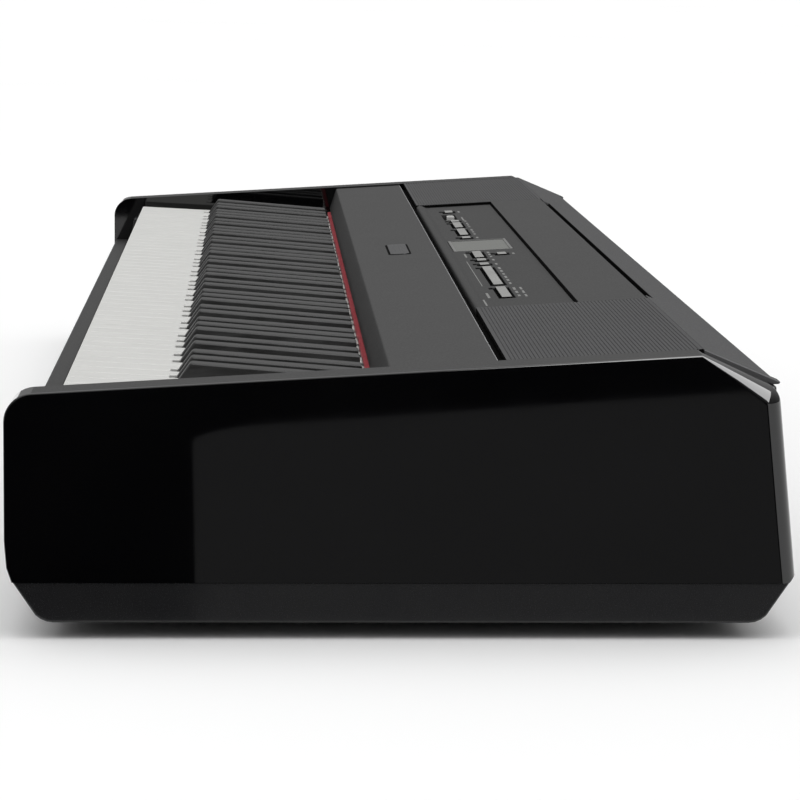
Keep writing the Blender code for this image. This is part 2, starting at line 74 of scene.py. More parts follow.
NATURALS = "CDEFGAB"
ORDER = ["C", "Cs", "D", "Ds", "E", "F", "Fs", "G", "Gs", "A", "As", "B"]
KEY_SPANS = [("lowest", ("A", 0), ("B", 1)), ("low", ("C", 2), ("B", 3)),
             ("high", ("C", 5), ("B", 6)), ("highest", ("C", 7), ("C", 8))]

# Buttons: caps in each well
CAPS = {"power_button": 1, "metronome_button": 1, "tempo_button_bank": 3, "transport_button_bank": 3,
        "function_button": 1, "exit_button": 1, "select_button_bank": 3, "split_button": 1,
        "reverb_button": 1, "voice_button_bank": 6, "effect_button_bank": 3}
BAR_LIP = 0.4 * MM                      # the hidden bar is this much wider than its caps
CAP_GAP = 0.7 * MM
CAP_RISE = 0.8 * MM                     # caps stand this far over the panel
WELL_SIDE = 1.5 * MM                    # room round the caps of a well: at each end, before and behind
WELL_FRONT = 1.6 * MM
WELL_REAR = 2.1 * MM
WELL_FLOOR = 1.6 * MM                   # floor in painted shade, this far under the panel
WELL_UNDER = 2.55 * MM                  # underside of that floor
SLACK = 0.05 * MM                       # a floor is this much smaller than its well
SLIDER_WELL = (-309.0 * MM, -257.0 * MM, 64.8 * MM, 74.4 * MM)
RIB_PITCH = 1.95 * MM

PANEL_LOW, PANEL_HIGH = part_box("control_panel")
PANEL_SINK = 2.2 * MM                   # the panel lies this far under the grilles and the rear cover
FRONT_PANEL_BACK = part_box("front_top_panel")[1].y


# ---------------------------------------------------------------- materials

def colour(code):
    """An sRGB hex value as linear red, green, blue and alpha."""
    parts = [int(code[i:i + 2], 16) / 255 for i in (1, 3, 5)]
    return [c / 12.92 if c <= 0.04045 else ((c + 0.055) / 1.055) ** 2.4 for c in parts] + [1.0]


def add(tree, kind, settings={}, links={}):
    """A node of a kind, with its properties or sockets set, and its sockets linked."""
    made = tree.nodes.new("ShaderNode" + kind)
    for key, value in settings.items():
        if isinstance(key, str) and hasattr(made, key):
            setattr(made, key, value)
        else:
            made.inputs[key].default_value = value
    for key, source in links.items():
        tree.links.new(source, made.inputs[key])
    return made


def blank(name, **sockets):
    """A Principled material with constant sockets, ready for its patterns."""
    mat = bpy.data.materials.new(name)
    mat.use_nodes = True
    shader = mat.node_tree.nodes["Principled BSDF"]
    for key, value in sockets.items():
        shader.inputs[key.replace("_", " ")].default_value = value
    return mat, mat.node_tree, shader


def grain(tree, size, detail=2.0, stretch=(1.0, 1.0, 1.0)):
    """Noise on object coordinates whose blotches are about size metres across."""
    where = add(tree, "TexCoord").outputs["Object"]
    turned = add(tree, "Mapping", {"Scale": stretch}, {"Vector": where})
    noise = add(tree, "TexNoise", {"Scale": 1.0 / size, "Detail": detail, "Roughness": 0.55},
                {"Vector": turned.outputs["Vector"]})
    return noise.outputs["Fac"]


def spread(tree, source, low, high):
    """A noise value stretched from its usual range to low..high."""
    return add(tree, "MapRange", {"From Min": 0.3, "From Max": 0.7, "To Min": low, "To Max": high},
               {"Value": source}).outputs["Result"]


def blend_colour(tree, source, dark, light):
    """Two sRGB hex colours mixed by a noise value."""
    fac = spread(tree, source, 0.0, 1.0)
    return add(tree, "Mix", {"data_type": "RGBA", 6: colour(dark), 7: colour(light)}, {0: fac}).outputs[2]


def bump(tree, shader, source, height, strength=1.0):
    made = add(tree, "Bump", {"Strength": strength, "Distance": height}, {"Height": source})
    tree.links.new(made.outputs["Normal"], shader.inputs["Normal"])


def polished_black_abs():
    """Piano-gloss ABS from a mirror-polished mould: deep black, with faint handling haze."""
    mat, tree, shader = blank("piano_gloss_abs", IOR=1.52, Coat_Weight=0.2, Coat_Roughness=0.03)
    haze = grain(tree, 55 * MM, 3.0)
    tree.links.new(blend_colour(tree, haze, "#040405", "#060607"), shader.inputs["Base Color"])
    tree.links.new(spread(tree, haze, 0.025, 0.05), shader.inputs["Roughness"])
    bump(tree, shader, grain(tree, 9 * MM, 1.0), 0.001 * MM)
    return mat


def spark_eroded_abs(name, dark, light, rough, grit=1.1 * MM, depth=0.02 * MM, shine=0.5):
    """ABS from a spark-eroded mould: even fine grit that scatters light into a soft satin.
    Real grit is about 0.2 mm; it is drawn coarser so that it shows."""
    mat, tree, shader = blank(name, IOR=1.5, Specular_IOR_Level=shine)
    tree.links.new(blend_colour(tree, grain(tree, 40 * MM, 4.0), dark, light), shader.inputs["Base Color"])
    grit_noise = grain(tree, grit, 2.0)
    tree.links.new(spread(tree, grit_noise, rough - 0.05, rough + 0.05), shader.inputs["Roughness"])
    bump(tree, shader, grit_noise, depth)
    return mat


def synthetic_ivory():
    """Satin key plastic with a faint lengthwise ivory grain that breaks up the reflections."""
    mat, tree, shader = blank("synthetic_ivory", IOR=1.5, Subsurface_Weight=0.0)
    streaks = grain(tree, 1.4 * MM, 3.0, (1.0, 0.06, 0.3))
    tree.links.new(blend_colour(tree, streaks, "#cfcfcc", "#d8d8d5"), shader.inputs["Base Color"])
    tree.links.new(spread(tree, streaks, 0.33, 0.45), shader.inputs["Roughness"])
    bump(tree, shader, streaks, 0.01 * MM)
    return mat


def synthetic_ebony():
    """Matt key plastic with a fine lengthwise wood-like grain."""
    mat, tree, shader = blank("synthetic_ebony", IOR=1.5)
    streaks = grain(tree, 1.0 * MM, 3.0, (1.0, 0.05, 0.3))
    tree.links.new(blend_colour(tree, streaks, "#0c0c0c", "#161616"), shader.inputs["Base Color"])
    tree.links.new(spread(tree, streaks, 0.30, 0.42), shader.inputs["Roughness"])
    bump(tree, shader, streaks, 0.02 * MM)
    return mat


def wool_felt():
    """Pressed wool felt, wine red: matted fibres, no gloss, a soft sheen at the edges."""
    mat, tree, shader = blank("wine_red_wool_felt", Roughness=0.95, Sheen_Weight=0.12, Sheen_Roughness=0.5,
                              Specular_IOR_Level=0.1)
    fibres = grain(tree, 0.9 * MM, 6.0, (0.6, 1.0, 1.0))
    tree.links.new(blend_colour(tree, fibres, "#6a1820", "#a3333c"), shader.inputs["Base Color"])
    bump(tree, shader, fibres, 0.4 * MM)
    return mat


def printed_ink(name, code):
    """Pad-printed ink: thin, matt and slightly broken by the grit of the panel under it."""
    mat, tree, shader = blank(name, IOR=1.45)
    flecks = grain(tree, 1.2 * MM, 2.0)
    tree.links.new(blend_colour(tree, flecks, code, "#8a8a88"), shader.inputs["Base Color"])
    tree.links.new(spread(tree, grain(tree, 4 * MM), 0.55, 0.7), shader.inputs["Roughness"])
    return mat


def liquid_crystal():
    """Unlit grey liquid crystal behind glass: a faint cell grid under a soft satin front."""
    mat, tree, shader = blank("liquid_crystal_glass", IOR=1.5, Specular_IOR_Level=0.3)
    where = add(tree, "TexCoord").outputs["Object"]
    grid = add(tree, "TexBrick", {"Scale": 1.0 / (2.2 * MM), "Mortar Size": 0.05, "offset": 0.0,
                                  "Brick Width": 0.6, "Row Height": 1.0, "Color1": colour("#6c6d6a"),
                                  "Color2": colour("#70716e"), "Mortar": colour("#666764")},
               {"Vector": where})
    tree.links.new(grid.outputs["Color"], shader.inputs["Base Color"])
    tree.links.new(spread(tree, grain(tree, 20 * MM), 0.5, 0.56), shader.inputs["Roughness"])
    return mat


def moulded_rubber():
    """Moulded rubber: matt, soft-edged and slightly chalky."""
    mat, tree, shader = blank("moulded_rubber", IOR=1.52)
    chalk = grain(tree, 3 * MM, 4.0)
    tree.links.new(blend_colour(tree, chalk, "#141414", "#222221"), shader.inputs["Base Color"])
    tree.links.new(spread(tree, chalk, 0.75, 0.9), shader.inputs["Roughness"])
    bump(tree, shader, chalk, 0.05 * MM)
    return mat


def zinc_steel():
    """Zinc-plated folded steel: a dull spangle over a metallic grey."""
    mat, tree, shader = blank("zinc_plated_steel", Metallic=1.0)
    spangle = add(tree, "TexVoronoi", {"Scale": 1.0 / (6 * MM)},
                  {"Vector": add(tree, "TexCoord").outputs["Object"]}).outputs["Distance"]
    tree.links.new(blend_colour(tree, spangle, "#8d9094", "#b0b3b6"), shader.inputs["Base Color"])
    tree.links.new(spread(tree, spangle, 0.35, 0.5), shader.inputs["Roughness"])
    return mat


def circuit_board():
    """Green solder mask over glass cloth: a fine weave under a thin gloss."""
    mat, tree, shader = blank("green_solder_mask", IOR=1.5, Coat_Weight=0.4, Coat_Roughness=0.2)
    weave = add(tree, "TexWave", {"Scale": 1.0 / (1.5 * MM), "Distortion": 0.5},
                {"Vector": add(tree, "TexCoord").outputs["Object"]}).outputs["Fac"]
    tree.links.new(blend_colour(tree, weave, "#0d4a26", "#156035"), shader.inputs["Base Color"])
    tree.links.new(spread(tree, weave, 0.4, 0.5), shader.inputs["Roughness"])
    return mat


def fibreboard():
    """Raw fibreboard: short pressed wood fibres, brown and matt."""
    mat, tree, shader = blank("raw_fibreboard", Roughness=0.8)
    chips = grain(tree, 2.5 * MM, 6.0, (0.4, 1.0, 1.0))
    tree.links.new(blend_colour(tree, chips, "#8a6d4c", "#b39468"), shader.inputs["Base Color"])
    bump(tree, shader, chips, 0.1 * MM)
    return mat


def paper_cone():
    """Coated paper cone and pressed basket: matt black with a slight fibre."""
    mat, tree, shader = blank("coated_paper_cone", Roughness=0.75)
    pulp = grain(tree, 2 * MM, 5.0)
    tree.links.new(blend_colour(tree, pulp, "#161616", "#242424"), shader.inputs["Base Color"])
    bump(tree, shader, pulp, 0.05 * MM)
    return mat


def anodised_plate():
    """Dark satin-anodised aluminium: fine lengthwise brushing under a grey film."""
    mat, tree, shader = blank("dark_anodised_aluminium", Metallic=0.9)
    brushed = grain(tree, 0.7 * MM, 2.0, (0.03, 1.0, 1.0))
    tree.links.new(blend_colour(tree, brushed, "#3c3c3e", "#505052"), shader.inputs["Base Color"])
    tree.links.new(spread(tree, brushed, 0.32, 0.46), shader.inputs["Roughness"])
    return mat


GLOSS = polished_black_abs()
SATIN = spark_eroded_abs("spark_eroded_abs_charcoal", "#212121", "#252525", 0.52, shine=0.3)
PANEL = spark_eroded_abs("spark_eroded_abs_panel", "#1f1f1f", "#232323", 0.52, shine=0.24)
# a lighter, shinier copy of the charcoal satin for the rear slope: painted light where the slope catches
# more light
LIT_SLOPE = spark_eroded_abs("spark_eroded_abs_rear_lit", "#242426", "#28282a", 0.50, shine=0.42)
CASE = spark_eroded_abs("spark_eroded_abs_case", "#18181a", "#1c1c1d", 0.24, 0.6 * MM, 0.003 * MM)
RIBS = spark_eroded_abs("ribbed_abs_grille", "#1e1e20", "#242426", 0.5, 0.9 * MM, 0.01 * MM, 0.45)
# near-black finish with almost no reflection: painted shade for wells, gaps, seams and hidden walls
PAINTED_SHADE = spark_eroded_abs("painted_shade_black", "#020202", "#050505", 0.8, shine=0.03)
# light grey finish for rounded edges: a painted highlight along the edge
EDGE_HIGHLIGHT = spark_eroded_abs("worn_abs_edge", "#8c8c8e", "#969698", 0.3, depth=0.004 * MM)
CAP = spark_eroded_abs("button_abs_light_grey", "#8a8a88", "#969694", 0.42, 0.8 * MM, 0.008 * MM)
SURROUND = spark_eroded_abs("display_bezel_abs", "#6c6c6b", "#747473", 0.35)
KNOB = spark_eroded_abs("knob_abs_white", "#c4c4c2", "#cececc", 0.4, 0.8 * MM, 0.008 * MM)
IVORY = synthetic_ivory()
EBONY = synthetic_ebony()
FELT = wool_felt()
INK = printed_ink("pad_printed_ink", "#666665")
LCD = liquid_crystal()
RUBBER = moulded_rubber()
STEEL = zinc_steel()
BOARD = circuit_board()
WOOD = fibreboard()
CONE = paper_cone()
BADGE = anodised_plate()


# ---------------------------------------------------------------- modelling helpers

def top_z(y, sink=0.0):
    """Height of the top surface, which rises gently to the ridge."""
    return CREST_Z + TOP_SLOPE * (y - CREST_Y) - sink


def panel_z(y, under=0.0):
    """Height of the control panel, or of a level this far under it."""
    return top_z(y, PANEL_SINK + under)


def piece(name, bm, mat, body="case", stands_for=(), smooth=35):
    """Turns a closed bmesh into a finished object that rides on a body."""
    bmesh.ops.recalc_face_normals(bm, faces=bm.faces)
    mesh = bpy.data.meshes.new(name)
    bm.to_mesh(mesh)
    bm.free()
    mesh.materials.append(mat)
    mesh.shade_smooth()
    mesh.set_sharp_from_angle(angle=math.radians(smooth))
    obj = bpy.data.objects.new(name, mesh)
    bpy.context.scene.collection.objects.link(obj)
    even = obj.modifiers.new("even_normals", "WEIGHTED_NORMAL")
    even.keep_sharp = True
    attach(obj, body)
    if stands_for:
        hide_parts(*stands_for)
    return obj


def run_section(bm, outline, x0, x1):
    """A closed YZ section run from x0 to x1. Returns its vertices."""
    verts = [bm.verts.new((x0, y, z)) for y, z in outline]
    run = bmesh.ops.extrude_face_region(bm, geom=[bm.faces.new(verts)])
    moved = [v for v in run["geom"] if isinstance(v, bmesh.types.BMVert)]
    bmesh.ops.translate(bm, verts=moved, vec=(x1 - x0, 0, 0))
    return verts + moved


def raise_plan(bm, outline, bottom, top):
    """A closed XY outline raised between two heights, each a function of y. Returns its vertices."""
    verts = [bm.verts.new((x, y, bottom(y))) for x, y in outline]
    run = bmesh.ops.extrude_face_region(bm, geom=[bm.faces.new(verts)])
    moved = [v for v in run["geom"] if isinstance(v, bmesh.types.BMVert)]
    for v in moved:
        v.co.z = top(v.co.y)
    return verts + moved


def rect(x0, x1, y0, y1):
    """A rectangle's corners in plan."""
    return [(x0, y0), (x1, y0), (x1, y1), (x0, y1)]


def round_edges(bm, edges, width, segments=3, clamp=False):
    """Rounds edges with a fillet whose flanks start this far from the edge."""
    bmesh.ops.recalc_face_normals(bm, faces=bm.faces)
    bmesh.ops.bevel(bm, geom=list(edges), offset=width, offset_type="OFFSET", segments=segments,
                    profile=0.5, affect="EDGES", clamp_overlap=clamp, material=-1)


def cut_across(bm, point, outward):
    """Cuts off what lies outward of a plane, and closes the cut."""
    cut = bmesh.ops.bisect_plane(bm, geom=bm.verts[:] + bm.edges[:] + bm.faces[:], plane_co=point,
                                 plane_no=outward, clear_outer=True, dist=0.001 * MM)
    rim = [e for e in cut["geom_cut"] if isinstance(e, bmesh.types.BMEdge)]
    bmesh.ops.contextual_create(bm, geom=rim)


def sharp_edges(bm, degrees=25):
    """Outer edges that turn by more than a few degrees."""
    return [e for e in bm.edges
            if len(e.link_faces) == 2 and e.calc_face_angle() > math.radians(degrees) and e.is_convex]


def along_x(edge):
    """Whether an edge runs lengthwise."""
    run = edge.verts[1].co - edge.verts[0].co
    return abs(run.x) > 0.9 * run.length


def softened(node, name, mat, width, segments=3, pick=None, second=None, where=None):
    """A CAD piece with its moulded edges rounded, or only those that pick chooses. Faces for which
    where(normal) holds take the second finish."""
    bm = bmesh.new()
    bm.from_mesh(NODES[node].data)
    bmesh.ops.remove_doubles(bm, verts=bm.verts, dist=0.01 * MM)
    bmesh.ops.dissolve_limit(bm, angle_limit=math.radians(1), verts=bm.verts, edges=bm.edges)
    round_edges(bm, [e for e in sharp_edges(bm) if pick is None or pick(e)], width, segments, clamp=True)
    made = piece(name, bm, mat, stands_for=(node,))
    if second:
        made.data.materials.append(second)
        for face in made.data.polygons:
            face.material_index = int(where(face.normal))
    return made


def two_tone(obj, second, steep):
    """Gives the faces that lie flatter than a limit the first finish, and the rest the second."""
    obj.data.materials.append(second)
    for face in obj.data.polygons:
        face.material_index = int(face.normal.z < steep)


def dress(mat, *nodes):
    """Gives CAD pieces that are right as they are their real finish."""
    for node in nodes:
        data = NODES[node].data
        data.materials.clear()
        data.materials.append(mat)


# ---------------------------------------------------------------- casing

def end_block(name, node, side):
    """End block: satin on top, gloss elsewhere. Its outer edge has a fine fillet that grows broad down
    the rear slope and stays broad down the rear edge. The front top corner has a large round."""
    low = BLOCK_LOW.z
    below = low - 15 * MM               # the block is drawn deeper than it is, and cut off at the end
    fine, broad = 0.9 * MM, 8.5 * MM    # the fillet, before and after the rear corners
    front_round = 13 * MM
    rear_top, rear_foot = (178.6 * MM, 119.6 * MM), (189.3 * MM, below)
    outline = [(-183.0 * MM, below), (-184.6 * MM, low), (-187.0 * MM, low + 7 * MM),
               (-HALF_D, low + 20 * MM), (-HALF_D, top_z(-HALF_D)), (CREST_Y, CREST_Z), rear_top, rear_foot]
    bm = bmesh.new()
    inner, outer = side * WALL_X, side * HALF_L
    run_section(bm, outline, inner, outer)
    at_rear_top = [e for e in bm.edges if along_x(e) and abs(e.verts[0].co.y - rear_top[0]) < 0.1 * MM]
    round_edges(bm, at_rear_top, 0.62 * MM, 8)
    front_top = [e for e in bm.edges if along_x(e) and e.verts[0].co.y < -HALF_D + MM
                 and e.verts[0].co.z > top_z(-HALF_D) - MM]
    round_edges(bm, front_top, front_round, 10)
    round_edges(bm, [e for e in bm.edges if all(abs(v.co.x - outer) < 0.01 * MM for v in e.verts)], fine, 12)
    for corner in (Vector((x, y, z)) for x in (inner, outer) for y, z in (rear_top, rear_foot)):
        for v in bm.verts:
            if (v.co - corner).length < 3 * fine:
                v.co = corner + (v.co - corner) * (broad / fine)
    cut_across(bm, Vector((0, 0, low)), Vector((0, 0, -1)))
    cut_across(bm, Vector((0, 184.4 * MM, low)), Vector((0, 1.0, -0.9)))
    block = piece(name, bm, GLOSS, stands_for=(node,))
    block.data.materials.append(SATIN)
    for face in block.data.polygons:
        face.material_index = int(face.normal.z > 0.997 and face.center.z > 100 * MM)


def make_casing():
    """End blocks, and the CAD's other outer pieces with their edges rounded."""
    end_block("bass_end_cheek", "bass_end_block", -1)
    end_block("treble_end_cheek", "treble_end_block", 1)
    softened("bottom_case", "bottom_tray", CASE, 1.2 * MM, 3,
             pick=lambda e: min(v.co.z for v in e.verts) < BLOCK_LOW.z - 4 * MM)
    softened("key_slip", "key_slip_rail", SATIN, 0.8 * MM, 3)
    # the rounding along the panel's rear edge, facing back and up, takes the light grey finish: a painted
    # highlight
    softened("front_top_panel", "fallboard_and_top", SATIN, 0.8 * MM, 3,
             second=EDGE_HIGHLIGHT, where=lambda normal: 0.2 < normal.y < 0.9 and normal.z > 0.1)
    # the walls facing the player, in the seam and in the music rest slot, take painted shade
    softened("rear_cover", "rear_cover_plate", SATIN, 0.5 * MM, 2,
             second=PAINTED_SHADE, where=lambda normal: normal.y < -0.8)
    softened("rear_strip", "rear_strip_moulding", LIT_SLOPE, 1.3 * MM, 3,
             second=PAINTED_SHADE, where=lambda normal: normal.y < -0.8)
    softened("rear_panel", "rear_wall", CASE, 0.5 * MM, 2)
    softened("bass_key_filler", "bass_key_block", CASE, 1.0 * MM, 3)
    softened("treble_key_filler", "treble_key_block", CASE, 1.0 * MM, 3)


def make_felt():
    """Felt strip whose surface swells and dips a little between its fixings."""
    low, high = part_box("felt_strip")
    bm = bmesh.new()
    bmesh.ops.create_cube(bm, size=1.0)
    bmesh.ops.scale(bm, vec=high - low, verts=bm.verts)
    bmesh.ops.translate(bm, vec=(low + high) / 2, verts=bm.verts)
    round_edges(bm, [e for e in bm.edges if along_x(e)], 0.8 * MM, 3)
    lengthwise = [e for e in bm.edges if along_x(e)]
    bmesh.ops.subdivide_edges(bm, edges=lengthwise, cuts=220, use_grid_fill=True)
    for v in bm.verts:
        wave = math.sin(v.co.x / (17 * MM)) + 0.6 * math.sin(v.co.x / (6.1 * MM) + 1.3)
        if v.co.y < low.y + 2 * MM:
            v.co.y += 0.12 * MM * wave
    piece("felt_strip_nap", bm, FELT, stands_for=("felt_strip",))


def make_grille(name, node):
    """Speaker grille: fine round-topped ribs along X; its end, side and under faces are in painted shade."""
    low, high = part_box(node)
    rib, groove, shoulder = 1.2 * MM, 0.42 * MM, 0.12 * MM
    under = 2.6 * MM
    border = 0.6 * MM
    count = int((high.y - low.y - 2 * border) / RIB_PITCH)
    start = high.y - border - count * RIB_PITCH
    outline = [(low.y, top_z(low.y, under)), (low.y, top_z(low.y))]
    for i in range(count):
        y = start + i * RIB_PITCH
        gap = RIB_PITCH - rib
        outline += [(y, top_z(y)), (y + 0.25 * gap, top_z(y, groove)), (y + 0.75 * gap, top_z(y, groove)),
                    (y + gap, top_z(y, shoulder)), (y + gap + 0.2 * rib, top_z(y))]
    outline += [(high.y, top_z(high.y)), (high.y, top_z(high.y, under))]
    bm = bmesh.new()
    run_section(bm, outline, low.x, high.x)
    grille = piece(name, bm, RIBS, stands_for=(node,), smooth=25)
    # the grille's steep faces, its ends, sides and underside, take painted shade
    two_tone(grille, PAINTED_SHADE, 0.1)


# ---------------------------------------------------------------- control panel

def cap_boxes(node):
    """Places of the caps of one well, left to right, as (x0, x1, y0, y1)."""
    low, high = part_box(node)
    x0, x1 = low.x + BAR_LIP, high.x - BAR_LIP
    y0, y1 = low.y + BAR_LIP, high.y - BAR_LIP
    pitch = (x1 - x0 + CAP_GAP) / CAPS[node]
    return [(x0 + i * pitch, x0 + (i + 1) * pitch - CAP_GAP, y0, y1) for i in range(CAPS[node])]


def make_buttons():
    """Caps with light tops and sides in painted shade, each row in a well whose floor is painted shade, with
    a strip of painted shade before it.
    """
    window = 8 * MM, 2.4 * MM
    for node in CAPS:
        bm = bmesh.new()
        for box in cap_boxes(node):
            raise_plan(bm, rect(*box), lambda y: panel_z(y, 4 * MM), lambda y: panel_z(y, -CAP_RISE))
        bmesh.ops.recalc_face_normals(bm, faces=bm.faces)
        upper = [e for e in sharp_edges(bm) if max(v.co.z - panel_z(v.co.y) for v in e.verts) > 0]
        round_edges(bm, upper, 0.4 * MM, 2)
        # the caps' sides take painted shade
        two_tone(piece(node + "_caps", bm, CAP, node, (node,)), PAINTED_SHADE, 0.6)
        x0, x1, y0, y1 = cap_boxes(node)[0]
        x1 = cap_boxes(node)[-1][1]
        edge = WELL_SIDE - SLACK
        front, rear = y0 - WELL_FRONT + SLACK, y1 + WELL_REAR - SLACK
        well = bmesh.new()
        raise_plan(well, rect(x0 - edge, x1 + edge, front, rear),
                   lambda y: panel_z(y, WELL_UNDER), lambda y: panel_z(y, WELL_FLOOR))
        # a near-black strip before the first caps: painted shade
        raise_plan(well, rect(x0 - edge, x0 + window[0], front - window[1], front - SLACK),
                   lambda y: panel_z(y, 0.5 * MM), lambda y: panel_z(y, -0.05 * MM))
        piece(node + "_well", well, PAINTED_SHADE)


def make_slider():
    """Volume slider: a knob with three grip ridges, and the floor of its slot in painted shade."""
    low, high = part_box("volume_slider")
    ridge, ridge_pitch, ridge_inset = 1.2 * MM, 3.5 * MM, 0.8 * MM
    bm = bmesh.new()
    raise_plan(bm, rect(low.x, high.x, low.y, high.y), lambda y: low.z, lambda y: high.z - 0.5 * MM)
    round_edges(bm, [e for e in sharp_edges(bm) if min(v.co.z for v in e.verts) > low.z + MM], 0.6 * MM, 3)
    middle = (low.x + high.x) / 2
    for i in (-1, 0, 1):
        x = middle + i * ridge_pitch
        raise_plan(bm, rect(x - ridge / 2, x + ridge / 2, low.y + ridge_inset, high.y - ridge_inset),
                   lambda y: high.z - 0.9 * MM, lambda y: high.z)
    piece("volume_slider_knob", bm, KNOB, "volume_slider", ("volume_slider",))
    slot = bmesh.new()
    x0, x1, y0, y1 = SLIDER_WELL
    raise_plan(slot, rect(x0 + 2 * SLACK, x1 - 2 * SLACK, y0 + 2 * SLACK, y1 - 2 * SLACK),
               lambda y: panel_z(y, WELL_UNDER), lambda y: panel_z(y, 2.0 * MM))
    piece("volume_slider_slot", slot, PAINTED_SHADE)


def make_display():
    """Display glass in a thin bezel of four bars."""
    dress(LCD, "display_window")
    low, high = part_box("display_window")
    bar = 1.6 * MM
    bm = bmesh.new()
    for x0, x1, y0, y1 in ((low.x, high.x, low.y, low.y + bar), (low.x, high.x, high.y - bar, high.y),
                           (low.x, low.x + bar, low.y + bar, high.y - bar),
                           (high.x - bar, high.x, low.y + bar, high.y - bar)):
        raise_plan(bm, rect(x0, x1, y0, y1), lambda y: panel_z(y, 0.15 * MM),
                   lambda y: panel_z(y, -0.25 * MM))
    piece("display_bezel", bm, SURROUND)


def make_panel():
    """Control panel with its display, and a rolled front lip over a near-black strip under the seam: painted
    shade.
    """
    softened("control_panel", "control_panel_plate", PANEL, 0.35 * MM, 2)
    make_display()
    lip = bmesh.new()
    front, under = PANEL_LOW.y, 2.6 * MM
    # the lip in section, in millimetres: run behind the panel's front edge, and depth under the top
    crown = [(0.1, 1.9), (0.2, 1.4), (0.5, 0.95), (1.0, 0.65), (1.8, 0.48), (2.8, 0.45), (3.8, 0.62),
             (4.8, 1.0), (5.8, 1.5), (6.6, 1.9), (7.2, 2.15)]
    first, last = front + crown[0][0] * MM, front + crown[-1][0] * MM
    outline = [(first, top_z(front, under))]
    outline += [(front + run * MM, top_z(front + run * MM, sink * MM)) for run, sink in crown]
    outline += [(last, top_z(last, under))]
    run_section(lip, outline, PANEL_LOW.x, PANEL_HIGH.x)
    piece("control_panel_lip", lip, PANEL, smooth=60)
    # a near-black sheet under the seam between the front top panel and the control panel: painted shade in
    # the gap
    seam_shade = bmesh.new()
    lap = 2 * MM
    raise_plan(seam_shade, rect(-WALL_X + MM, WALL_X - MM, FRONT_PANEL_BACK - lap, front + lap),
               lambda y: top_z(y, 5.5 * MM), lambda y: top_z(y, 5.0 * MM))
    piece("seam_painted_shade_strip", seam_shade, PAINTED_SHADE)


def make_marks():
    """Printed marks: a plain dash behind each cap, a second row behind the effect buttons, one behind
    the slider, and a few longer dashes before the buttons."""
    thick = 0.06 * MM
    bm = bmesh.new()

    def mark(x0, x1, y, width):
        raise_plan(bm, rect(x0, x1, y - width / 2, y + width / 2), lambda v: panel_z(v, 0.02 * MM),
                   lambda v: panel_z(v, -thick))

    for node in CAPS:
        for i, (x0, x1, y0, y1) in enumerate(cap_boxes(node)):
            inset = (x1 - x0) * (0.16 + 0.05 * (i % 3))
            mark(x0 + inset, x1 - inset, y1 + 4.6 * MM, 1.5 * MM)
    effect = cap_boxes("effect_button_bank")
    for i, (x0, x1, y0, y1) in enumerate(effect):
        mark(x0 + (3 + i) * MM, x1 - 2 * MM, y1 + 8.4 * MM, 1.3 * MM)
    low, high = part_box("voice_button_bank")
    mark(83 * MM, high.x, low.y - 6.2 * MM, 0.5 * MM)
    mark(29 * MM, 54 * MM, low.y - 4.6 * MM, 1.2 * MM)
    mark(effect[1][0] + 8 * MM, effect[2][1] - 4 * MM, low.y - 6.4 * MM, 1.4 * MM)
    mark(effect[2][1] + 4 * MM, effect[2][1] + 38 * MM, low.y - 10.6 * MM, 1.5 * MM)
    knob_low, knob_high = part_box("volume_slider")
    mark(knob_low.x - 3 * MM, knob_high.x + 16 * MM, knob_high.y + 6 * MM, 1.1 * MM)
    piece("printed_marks", bm, INK)


def make_badge():
    """A plain name plate with rounded ends, on the front top panel, with a thin dark border that paints the
    shade of a groove round it.
    """
    x0, x1, y0, y1 = -60 * MM, 16 * MM, 16.5 * MM, 28.5 * MM
    sink = 1.2 * MM                     # the front top panel lies this far under the top
    # the border ring is near black: painted shade of a groove round the plate
    for name, grow, rise, mat in (("badge_plate", 0.0, 0.45 * MM, BADGE),
                                  ("badge_groove", 1.4 * MM, 0.08 * MM, PAINTED_SHADE)):
        bm = bmesh.new()
        raise_plan(bm, rect(x0 - grow, x1 + grow, y0 - grow, y1 + grow),
                   lambda y: top_z(y, sink + 0.1 * MM), lambda y: top_z(y, sink - rise))
        upright = [e for e in bm.edges if abs(e.verts[0].co.x - e.verts[1].co.x) < MM
                   and abs(e.verts[0].co.y - e.verts[1].co.y) < MM]
        round_edges(bm, upright, (y1 - y0) / 2 * 0.7, 6)
        piece(name, bm, mat)


# ---------------------------------------------------------------- keys

def octave_x(octave):
    """Left end of an octave, at its C key."""
    return LEFT_OF_C4 + (octave - 4) * OCTAVE


def key_top(y):
    """Height of the white key tops."""
    return KEY_FRONT_Z - KEY_SLOPE * (y - KEY_FRONT_Y)


def white_outline(letter, octave):
    """Plan of a white key, notched for the black keys beside it."""
    index = NATURALS.index(letter)
    left = octave_x(octave) + index * WHITE_PITCH + WHITE_GAP / 2
    right = left + WHITE_PITCH - WHITE_GAP
    reach = BLACK_W / 2 + BLACK_CLEAR
    after = SHARPS.get(letter + "s")
    before = SHARPS.get(NATURALS[index - 1] + "s") if index else None
    if (letter, octave) == ("A", 0):
        before = None
    if (letter, octave) == ("C", 8):
        after = None
    outline = [(left, KEY_FRONT_Y), (right, KEY_FRONT_Y)]
    if after:
        waist = octave_x(octave) + after - reach
        outline += [(right, NOTCH_Y), (waist, NOTCH_Y), (waist, KEY_BACK_Y)]
    else:
        outline += [(right, KEY_BACK_Y)]
    if before:
        waist = octave_x(octave) + before + reach
        outline += [(waist, KEY_BACK_Y), (waist, NOTCH_Y), (left, NOTCH_Y)]
    else:
        outline += [(left, KEY_BACK_Y)]
    return outline


def white_key(bm, letter, octave):
    """A white key, notched beside its neighbours. Its upper edges are returned, to be rounded."""
    verts = raise_plan(bm, white_outline(letter, octave), lambda y: KEY_BOTTOM_Z, key_top)
    return {e for v in verts for e in v.link_edges
            if min(e.verts[0].co.z, e.verts[1].co.z) > KEY_BOTTOM_Z + MM}


